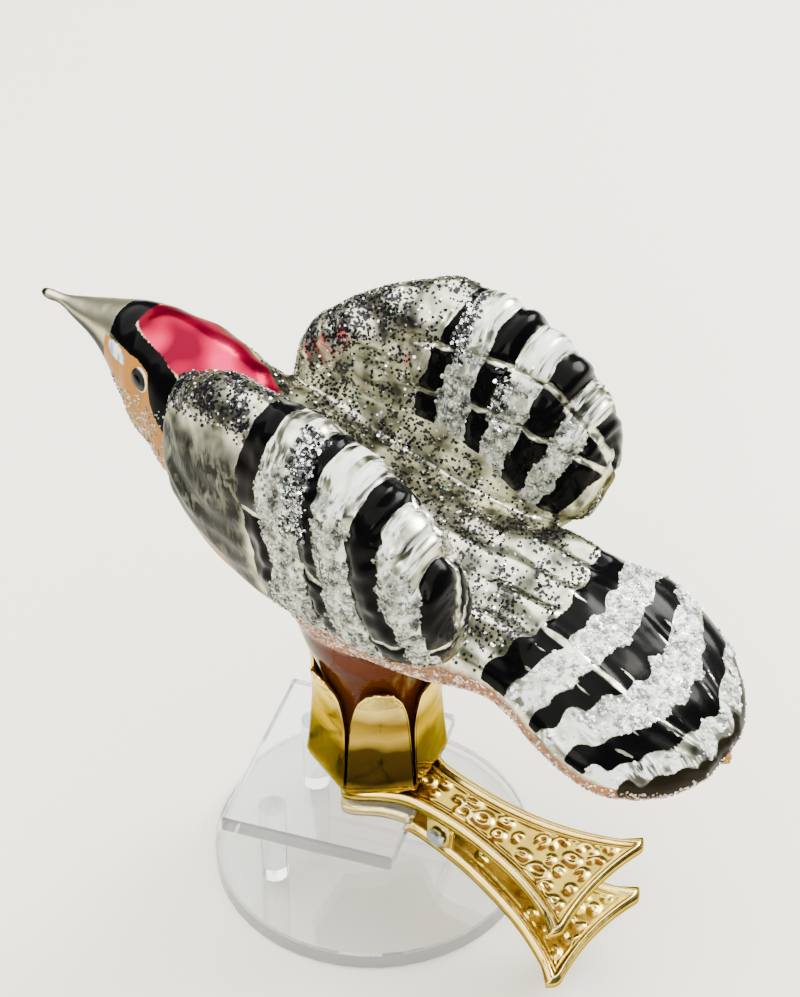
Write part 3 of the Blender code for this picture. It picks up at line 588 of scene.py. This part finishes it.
# The coats in the order they lie: colour, how far each covers, how metallic it is and how rough.
coats = (("#14150F", smoky, 0.2, 0.34), ("#8A5B3C", covered("peach", 0.8, 0.8), 0.0, 0.4),
         # The near-black coat on the bill's lower side is painted shade.
         ("#D2CEB0", layer["bill"], 1.0, 0.30), ("#14140F", layer["bill_underside_shade"], 0.0, 0.5),
         ("#19150D", covered("umber", 0.1, 0.4), 0.3, 0.3), ("#9A672C", covered("tan", 0.12, 0.2), 0.0, 0.4),
         ("#C9B58C", covered("cream", 0.1, 0.15), 0.0, 0.35), (ruby, covered("crimson", 0.12, 0.25), 0.80, 0.22),
         (chalk, whitened, 0.0, 0.4), ("#55564D", sugared, 0.0, 0.4),
         ("#040405", unbared["black"], 0.0, 0.2), ("#4E2403", covered("amber", 0.3, 0.8), 0.35, 0.12))
colour, metal, rough = warm, 1.0, 0.28
for tint, share, shine, haze in coats:
    colour = add(tree, "Mix", {0: share, 6: colour, 7: tint}, data_type="RGBA")[2]
    metal = add(tree, "Mix", {0: share, 2: metal, 3: shine})[0]
    rough = add(tree, "Mix", {0: share, 2: rough, 3: haze})[0]

# The smoky lacquer has dried in low waves, and the glass is uneven by a third of a millimetre.
waves = add(tree, "Math", {0: cells, 1: layer["smoke"], 2: cloud}, operation="MULTIPLY_ADD")[0]
bump = add(tree, "Bump", {"Height": waves, "Strength": 0.3, "Distance": 0.0003})
feed(shader, {"Base Color": colour, "Metallic": metal, "Roughness": rough, "Normal": bump[0]})

skin_mesh.materials.clear()
skin_mesh.materials.append(silvered)
skin = placed("glass_skin", skin_mesh)
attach(skin, "display")
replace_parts(skin, "bill", "head", "trunk", "tail", "wing_left", "wing_right", "stem")

# ---- The eyes: a painted oval each side, a cream ring round a dark grey eye with a black pupil, standing a
# little proud where the mould swells.

EYE_STATION, EYE_HEIGHT, EYE_LONG, EYE_WIDE, EYE_TILT = 33.1, 56.9, 1.95, 1.32, math.radians(38.0)

# Enamel flows to a wet gloss. Its rings waver a little, because they are put on by hand, in 0.7 mm steps.
eye_paint, tree, shader = finish("eye_enamel", Roughness=0.1, Specular_IOR_Level=0.2, Coat_Weight=0.15,
                                 Coat_Roughness=0.03)
from_middle = add(tree, "Attribute", attribute_name="from_middle")["Fac"]
fleck = add(tree, "TexNoise", {"Vector": add(tree, "TexCoord")["Object"], "Scale": 1500.0})["Fac"]
shaken = add(tree, "Math", {0: fleck, 1: 0.08, 2: from_middle}, operation="MULTIPLY_ADD")[0]
shade = add(tree, "ValToRGB", {"Fac": shaken}, ((0.40, "#030303"), (0.92, "#D8C9A8"), (0.48, "#23231F"),
                                                (0.86, "#1B1B18")))
feed(shader, {"Base Color": shade["Color"]})
share, turn = np.meshgrid(np.linspace(0, 1, 24), circle(48), indexing="ij")
share[0] = 1e-4
long, wide = EYE_LONG * share * np.cos(turn), EYE_WIDE * share * np.sin(turn)
eye_s = EYE_STATION + long * math.cos(EYE_TILT) + wide * math.sin(EYE_TILT)
eye_z = EYE_HEIGHT + long * math.sin(EYE_TILT) - wide * math.cos(EYE_TILT)
middle, rise = mid_and_half(BACK, BELLY, eye_s)
power = 2 / trunk_squareness(0.0)
eye_x = line(HALF_WIDTH, eye_s) * (1 - np.abs((eye_z - middle) / rise) ** power) ** (1 / power)
eye_x = eye_x - 0.12 + 0.55 * (1 - share ** 2) ** 0.5
for side, word in ((1, "left"), (-1, "right")):
    grid = np.stack([side * eye_x, AXIS_Y - eye_s, eye_z + COLLAR_BASE], -1) / 1000
    eye = surface("eye_" + word, grid[::side], eye_paint, "silvered_glass")
    mark(eye.data, "from_middle", share[::side])

# ---- Glitter and sugar: coarse black and silver flakes on the bare silver of back and shoulders, and grains of
# crushed glass on white bars, belly and cheeks. Both are shaken on over wet size, so they lie at random.

skin_mesh.calc_loop_triangles()
corners = np.empty(len(skin_mesh.loop_triangles) * 3, np.int32)
skin_mesh.loop_triangles.foreach_get("vertices", corners)
corners = corners.reshape(-1, 3)
a, b, c = skin_points[corners.T]
facing = np.cross(b - a, c - a)
area = np.linalg.norm(facing, axis=1) / 2
facing /= 2 * area[:, None] + 1e-18

# The grains' map is an unwrap of the skin's own shape onto a unit square. Upper body and under body lie in
# its lower half, and the outer and inner face of each wing in its upper half.
chart_u, chart_v = (s + 54.0) / 110.0 * 0.94, 0.02 + 0.20 * (x / FAN_HALF + 1) / 2 + 0.24 * (trunk_up < 0)
for number, side in enumerate((1, -1)):
    ws, up, out, tall = wing_place(side, x, s, z)
    here = (on_wing[side] < 1.5) & (wing_share > 0.5) & (side * x > 0)
    chart_u = np.where(here, (ws + 25.0) / 47.0 * 0.46 + 0.50 * (out < 0), chart_u)
    chart_v = np.where(here, 0.52 + 0.23 * number + 0.20 * (up + 1) / 2, chart_v)


def grains(name, kind, density, number, seed, low, high, squash, lift, tilt, material):
    """Copies of one small shape at random places, more where density is more. Each is scaled low to high mm,
    squashed along the normal, turned freely about it and tilted off it, with its own patch on the chart map."""
    shape, shape_faces = kind
    rng = np.random.default_rng(seed)
    weight = area * density[corners].mean(1)
    chosen = rng.choice(len(corners), number, p=weight / weight.sum())
    share = rng.dirichlet((1, 1, 1), number)
    places = (skin_points[corners[chosen]] * share[..., None]).sum(1)
    out = facing[chosen] + rng.normal(0, tilt, (number, 3))
    out /= np.linalg.norm(out, axis=1)[:, None]
    aside = np.cross(out, rng.normal(0, 1, out.shape))
    aside /= np.linalg.norm(aside, axis=1)[:, None]
    basis = np.stack([aside, np.cross(out, aside), out], 1)
    size = rng.uniform(low, high, (number, 1, 1)) / 1000 * rng.uniform(0.8, 1.2, (number, 1, 3))
    size[:, :, 2] *= squash
    points = np.einsum("nkc,ncd->nkd", shape[None] * size, basis) + (places + out * lift / 1000)[:, None]
    faces = shape_faces[None] + np.arange(number)[:, None, None] * len(shape)
    made = piece(name, points.reshape(-1, 3), faces.reshape(-1, 3), material, "silvered_glass", smooth=False)
    patch = shape[shape_faces].reshape(-1, 3)[:, :2] * 0.0013
    uv = np.stack([chart_u, chart_v], -1)[corners[chosen, 0]][:, None] + patch[None]
    made.data.uv_layers.new(name="OFBake").data.foreach_set("uv", uv.astype(np.float32).ravel())


# A flake is a hexagon cut from foil, and a grain of glass is a faceted pebble. Both are open underneath, where
# they sit in the size, and have 18 faces.
turn, k = np.arange(6) * math.pi / 3, np.arange(6)
kk = (k + 1) % 6
hexagon = (np.vstack([round_ring(turn, 1.0, 0.5), round_ring(turn, 1.0, -0.5), [[0, 0, 0.5]]]),
           np.vstack([np.stack(row, -1) for row in ((k, kk, 0 * k + 12), (k, k + 6, kk + 6), (k, kk + 6, kk))]))
waist = 0.35 + 0.15 * np.cos(3 * turn)
pebble = (np.vstack([[[0, 0, 1.0]], round_ring(turn, 0.9, waist), round_ring(turn + 0.5, 1.0, -0.4)]),
          np.vstack([np.stack(row, -1) for row in ((0 * k, 1 + k, 1 + kk), (1 + k, 7 + k, 7 + kk),
                                                   (1 + k, 7 + kk, 1 + kk))]))

# Dyed foil is a dark half mirror and silver foil a bright one, here and there with a green glint. Colour
# changes every 1.1 mm and 1.4 mm, so flakes side by side differ.
black_flake = mottled("black_glitter_flake", 900.0, "#08080A", "#26262A", Roughness=0.15, Metallic=0.6)
silver_flake = mottled("silver_glitter_flake", 700.0, "#BFC2C4", "#FFFFFF",
                       middle=((0.30, "#3F7F6B"), (0.34, "#C9CCCE")), Roughness=0.12, Metallic=1.0)
# Crushed glass flashes on its broken faces and is grey or peach between them, as the ground shows through.
# Grains side by side differ, because colour changes every 1.25 mm.
clear, frosted, peachy = (mottled(name, 800.0, dark, light, (0.38, 0.62), Roughness=0.10, IOR=1.52, Metallic=0.2)
                          for name, dark, light in (("crushed_clear_glass", "#35362D", "#B6B7A6"),
                                                    ("frosted_crushed_glass", "#82827A", "#FFFFFF"),
                                                    ("crushed_glass_on_peach", "#7A5B46", "#E6D3C0")))

for row in (
        ("glitter_black", hexagon, glitter, 8200, 1, 0.14, 0.25, 0.3, 0.06, 0.10, black_flake),
        ("glitter_silver", hexagon, glitter.clip(0, 0.8), 2200, 2, 0.12, 0.24, 0.3, 0.06, 0.25, silver_flake),
        ("glitter_coarse", hexagon, coarse, 420, 5, 0.22, 0.34, 0.4, 0.12, 0.5, silver_flake),
        ("glitter_coarse_black", hexagon, coarse, 420, 9, 0.22, 0.34, 0.4, 0.12, 0.5, black_flake),
        ("sugar_wings", pebble, sugar * ~fan, 6200, 3, 0.16, 0.34, 0.75, 0.06, 0.4, clear),
        ("sugar_tail", pebble, sugar * fan, 2800, 8, 0.14, 0.36, 0.75, 0.08, 0.4, frosted),
        ("sugar_belly", pebble, belly_grain, 6400, 6, 0.10, 0.24, 0.8, 0.06, 0.3, peachy),
        ("sugar_breast", pebble, grain, 1100, 4, 0.10, 0.22, 0.7, 0.05, 0.3, clear)):
    grains(*row)

# ---- The brass cup: one hexagonal blank of thin polished brass, cut into six petals that are folded up
# round the amber stem and eased outwards at their rounded tips.

# Polished brass is a clear mirror. Its colour is painted by height with reflections of the room: a painted
#  dark band low on the cup and a painted bright reflection at its top, wavering with the bows. Wiping has
#  left it hazed along fine upright scratches 0.2 mm apart, and the thin sheet bows a little over every 8 mm.
BOWS, SCRATCHES, UPRIGHT = 130.0, 900.0, (6.0, 6.0, 0.25)
brass, tree, shader = finish("polished_brass", Metallic=1.0, Roughness=0.14, Specular_Tint="#EADBA0")
place = add(tree, "TexCoord")["Object"]
cloud = add(tree, "TexNoise", {"Vector": place, "Scale": BOWS, "Detail": 2.0})["Fac"]
scratch_way = add(tree, "Mapping", {"Vector": place, "Scale": UPRIGHT})[0]
scratch = add(tree, "TexNoise", {"Vector": scratch_way, "Scale": SCRATCHES, "Detail": 2.0})["Fac"]
height = add(tree, "SeparateXYZ", {"Vector": place})["Z"]
# Painted reflection: colour by height over the cup, a dark band low down and bright gold at the top.
level = add(tree, "MapRange", {"Value": height, "From Min": 0.0205, "From Max": 0.0420})[0]
level = add(tree, "Math", {0: cloud, 1: 0.30, 2: level}, operation="MULTIPLY_ADD")[0]
shade = add(tree, "ValToRGB", {"Fac": level}, ((0.18, "#86691C"), (0.98, "#E2C76C"), (0.30, "#241A06"),
                                               (0.54, "#35270A"), (0.64, "#9C8030"), (0.80, "#7A5F1A")))
haze = add(tree, "MapRange", {"Value": scratch, "From Min": 0.4, "From Max": 0.75, "To Min": 0.06, "To Max": 0.20})
bump = add(tree, "Bump", {"Height": cloud, "Strength": 0.5, "Distance": 0.0006})
feed(shader, {"Base Color": shade["Color"], "Roughness": haze[0], "Normal": bump[0]})

# Heights and lengths are mm. Girth is a share of the apothem, and slot is half the gap between two petals.
PETAL_TURN, APOTHEM, CUP_HEIGHT, PETAL_FOOT, BRASS = math.radians(7.0), 8.8, 20.0, 1.5, 0.6
GIRTH = ((0.0, 0.93), (0.9, 1.0), (6.0, 0.965), (12.0, 0.95), (17.0, 1.0), (20.0, 1.10), (21.5, 1.16))
SLOT = ((0.0, 0.18), (1.6, 0.18), (9.0, 0.30), (14.5, 0.75), (18.0, 1.8), (20.4, 3.4), (22.0, 3.6))


def hexagon_radius(z, angle, wall):
    """The cup's radius: a hexagon at the fold that rounds towards the tips, less a wall."""
    apothem = APOTHEM * np.interp(z, *zip(*GIRTH)) - wall
    fold = (angle + math.pi / 6) % (math.pi / 3) - math.pi / 6
    roundness = np.clip(z / CUP_HEIGHT, 0, 1) * 0.75
    return apothem / np.cos(fold) * (1 - roundness) + apothem * 1.03 * roundness


def plate(name, front, rear, *looks):
    """A closed sheet between two grids, whose edges meet in a lip half-way between them. Looks are material,
    slot and body."""
    middle = (front + rear) / 2
    ring = np.concatenate([middle[:, :1], front, middle[:, -1:], rear[:, ::-1]], 1)
    ends = [np.concatenate([m[:, :1], m, m[:, -1:], m[:, ::-1]], 1) for m in (middle[:1], middle[-1:])]
    return surface(name, np.concatenate([ends[0], ring, ends[1]]), *looks)


def in_frame(x, y, z, turn=0.0):
    """Millimetres about the stem's axis, turned about it and raised to the cup's underside, in metres."""
    cos, sin = math.cos(turn), math.sin(turn)
    return np.stack([x * cos - y * sin, x * sin + y * cos + AXIS_Y, z + COLLAR_BASE], -1) / 1000


v, w = np.meshgrid(np.linspace(0, 1, 48), np.linspace(-1, 1, 33), indexing="ij")
tall = PETAL_FOOT + v * (CUP_HEIGHT - PETAL_FOOT + 0.9 * (1 - np.abs(w) ** 2.5))
facet = APOTHEM * np.interp(tall, *zip(*GIRTH))
angle = w * (math.pi / 6 - line(SLOT, tall) / facet)
skins = [hexagon_radius(tall, angle, wall) + 0.22 * (1 - w ** 2) * v for wall in (0.0, BRASS)]
brass_pieces = []
for number in range(6):
    face = angle + PETAL_TURN + math.pi / 6 + number * math.pi / 3
    front, rear = (in_frame(r * np.cos(face), r * np.sin(face), tall) for r in skins)
    brass_pieces.append(plate(f"cup_petal_{number}", front, rear, brass, "polished_brass"))
turn = circle(144)
levels = np.array([(0.001, 0.0), (0.5, 0.0), (0.97, 0.0), (1.0, 0.25), (1.0, 1.9), (0.93, 1.9), (0.93, 0.6),
                   (0.001, 0.6)])
radius = hexagon_radius(levels[:, 1:], turn, 0.0) * levels[:, :1]
face = turn + PETAL_TURN + math.pi / 6
grid = in_frame(radius * np.cos(face), radius * np.sin(face), levels[:, 1:] + 0 * turn)
brass_pieces.append(surface("cup_floor", grid, brass, "polished_brass"))
for made in brass_pieces[-1:] + brass_pieces[:-1]:
    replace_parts(made, "collar")

# ---- The spring clip: two leaves stamped from thin steel and gilt. Each has a fish-tail handle, a raised
# rim and a field of pressed pebbles and curls. Ears pinned together hold the springs between them.

# Gilt is pale gold. Its colour is painted by the pressed height, paler gold on the raised work and browner in
#  the hollows: painted light and shade of the relief. It also differs in patches of 3 mm, and its satin differs from
#      patch to patch.
RUBBED = 350.0
gilt, tree, shader = finish("gilt_stamped_steel", Metallic=1.0, Roughness=0.2, Specular_Tint="#CDB468")
place = add(tree, "TexCoord")["Object"]
height = add(tree, "Attribute", attribute_name="height")["Fac"]
cloud = add(tree, "TexNoise", {"Vector": place, "Scale": RUBBED, "Detail": 3.0})["Fac"]
# Painted light and shade: higher relief is paler gold, the hollows are browner.
relief_shade = add(tree, "Math", {0: cloud, 1: 0.35, 2: height}, operation="MULTIPLY_ADD")[0]
shade = add(tree, "ValToRGB", {"Fac": relief_shade}, ((0.05, "#6E5C22"), (0.75, "#F0DC8C"), (0.30, "#B89E42")))
haze = add(tree, "MapRange", {"Value": cloud, "To Min": 0.14, "To Max": 0.30})
bump = add(tree, "Bump", {"Height": cloud, "Strength": 0.3, "Distance": 0.0003})
feed(shader, {"Base Color": shade["Color"], "Roughness": haze[0], "Normal": bump[0]})

# A leaf's plan is half widths, and the two leaves' lines are heights, at stations from the stem's axis. Sheet
# is the steel's thickness, and ear is the radius of an ear's round end.
CLIP_TURN, HINGE_S, HINGE_Z, SHEET, EAR = math.radians(-4.0), -14.0, -4.5, 0.8, 1.9
LEAF_TOE, LEAF_LONG, CELL, ROW = 1.6, 41.1, 3.1, 2.7
LEAF_PLAN = ((-39.5, 11.2), (-36.0, 9.2), (-30.0, 6.6), (-24.0, 5.1), (-16.0, 4.3), (-9.0, 4.7), (-5.5, 6.2),
             (-2.6, 8.2), (-1.0, 8.8), (0.6, 7.6), (1.6, 5.4))
UPPER_LEAF = ((-40.3, -2.7), (-24.0, -2.1), (-8.0, -1.2), (2.6, -1.2))
LOWER_LEAF = ((-40.3, -13.2), (-24.0, -9.6), (-8.0, -5.9), (-4.0, -5.4), (2.6, -5.3))


def pressed_motif(x, s, seed):
    """Pebbles and open curls, each a round ridge along an arc, on a jittered staggered grid of 3.1 mm."""
    rng = np.random.default_rng(seed)
    high = np.zeros_like(x)
    for row in range(11):
        for column in range(-4, 5):
            cx = (column + 0.5 * (row % 2)) * CELL + rng.uniform(-0.6, 0.6)
            cs = -8.5 - row * ROW + rng.uniform(-0.5, 0.5)
            reach, open_half, facing = rng.uniform(0.30, 1.15), rng.uniform(0.0, 2.2), rng.uniform(0, 2 * math.pi)
            if abs(cx) + reach > line(LEAF_PLAN, cs) - 1.7:
                continue
            dx, ds = x - cx, (s - cs) * rng.uniform(0.75, 1.3)
            off = np.abs((np.arctan2(ds, dx) - facing + math.pi) % (2 * math.pi) - math.pi)
            gap = np.clip(open_half - off, 0, None) * reach
            ridge = np.hypot(np.hypot(dx, ds) - reach, gap)
            high = np.maximum(high, np.exp(-(ridge / 0.56) ** 2))
    return high


def leaf(name, rise, seed, body):
    """A stamped leaf: stations by widths, a rim ridge 0.9 mm in from the edge round a pressed field. The lower
    leaf is plain under the springs, so that they clear it when it turns."""
    along, across = np.meshgrid(np.linspace(0, 1, 270), np.sin(np.linspace(-1, 1, 105) * math.pi / 2), indexing="ij")
    station = LEAF_TOE - LEAF_LONG * along
    half = line(LEAF_PLAN, station)
    x = half * across
    bow = (1.6 * np.clip((along - 0.8) / 0.2, 0, 1) ** 2 + np.clip(1 - along * 10, 0, 1) ** 2) * (1 - across ** 2)
    s = station + bow + 1.6 * np.clip((np.abs(across) - 0.80) / 0.20, 0, 1) ** 2 * np.clip((along - 0.9) / 0.1, 0, 1)
    edge = np.minimum((half - np.abs(x)) * 0.88, LEAF_LONG * np.minimum(along, 1 - along) + 0.05)
    rim = 0.55 * np.exp(-((edge - 0.75) / 0.5) ** 2) + 0.12 * np.exp(-((edge - 1.9) / 0.25) ** 2)
    plain = (body == "lower_jaw") * ease(5.2 - np.abs(s - HINGE_S), 0.0, 1.2)
    pressed = 0.32 * pressed_motif(x, s, seed) * ease(edge, 1.6, 2.2) * (1 - plain)
    high = rim + pressed
    z = line(rise, s) + high
    front, rear = (in_frame(x, -s, z + lift, CLIP_TURN) for lift in (SHEET / 2, -SHEET / 2))
    made = plate(name, front, rear, gilt, "gilt_steel", body)
    pad = np.pad(np.concatenate([high, high[:, ::-1]], 1), ((1, 1), (1, 1)), mode="edge")
    pad = np.insert(pad[:, :-1], len(across[0]) + 1, pad[:, len(across[0])], axis=1)
    # The height is stored for the gilt's painted shade in the hollows.
    mark(made.data, "height", pad)
    return made


def ear(name, side, near, far, root, body):
    """A hinge ear: a flat cheek from the leaf to a round end about the pin, between two planes of x."""
    turn = np.linspace(0, math.pi, 24)
    up = 1 if HINGE_Z > root else -1
    y = np.concatenate([EAR * np.cos(turn), [-EAR, EAR]]) - HINGE_S
    z = np.concatenate([HINGE_Z + up * EAR * np.sin(turn), [root, root]])
    middle_y, middle_z = -HINGE_S, (HINGE_Z + root) / 2
    rows = [(near, 0.001), (near, 0.93), (near + 0.05, 1.0), (far - 0.05, 1.0), (far, 0.93), (far, 0.001)]
    grid = np.stack([in_frame(side * x + 0 * y, middle_y + k * (y - middle_y), middle_z + k * (z - middle_z),
                              CLIP_TURN) for x, k in rows])
    made = surface(name, grid[::side * up], gilt, "gilt_steel", body)
    mark(made.data, "height", np.full(grid.shape[:2], 0.3))
    return made


for word, rise, seed, body, near, far, root in (("upper", UPPER_LEAF, 7, "display", 3.70, 4.25, -1.6),
                                                ("lower", LOWER_LEAF, 8, "lower_jaw", 2.80, 3.35, -7.6)):
    node = "clip_leaf_" + word
    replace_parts(leaf(f"stamped_leaf_{word}", rise, seed, body), node)
    for side, hand in ((1, "left"), (-1, "right")):
        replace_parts(ear(f"ear_{word}_{hand}", side, near, far, root, body), node)

# ---- The pin and the springs: bright drawn steel wire. The pin is headed over outside the ears, and the two
# coils sit on it between them.

# Drawing leaves steel bright with a soft satin, and its grey changes a little every 1.1 mm.
steel = mottled("bright_drawn_steel", 900.0, "#7C7E82", "#BBBDC0", Metallic=1.0, Roughness=0.25)

# ---- The stand: clear cast acrylic with polished edges. The clip grips a sheet, which stands on two rods
# that are cemented into a round base.

# Acrylic is clear and glossy. Its faint haze of 8 mm clouds keeps it from looking like empty air.
acrylic = mottled("clear_cast_acrylic", 120.0, "#FAFCFB", "#FFFFFF", Roughness=0.03, IOR=1.49,
                  Transmission_Weight=0.9)
for material, words in ((steel, ("clip_pin", "clip_spring_upper", "clip_spring_lower")),
                        (acrylic, ("stand_sheet", "stand_rod_left", "stand_rod_right", "stand_base"))):
    for word in words:
        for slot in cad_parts[word].material_slots:
            slot.material = material
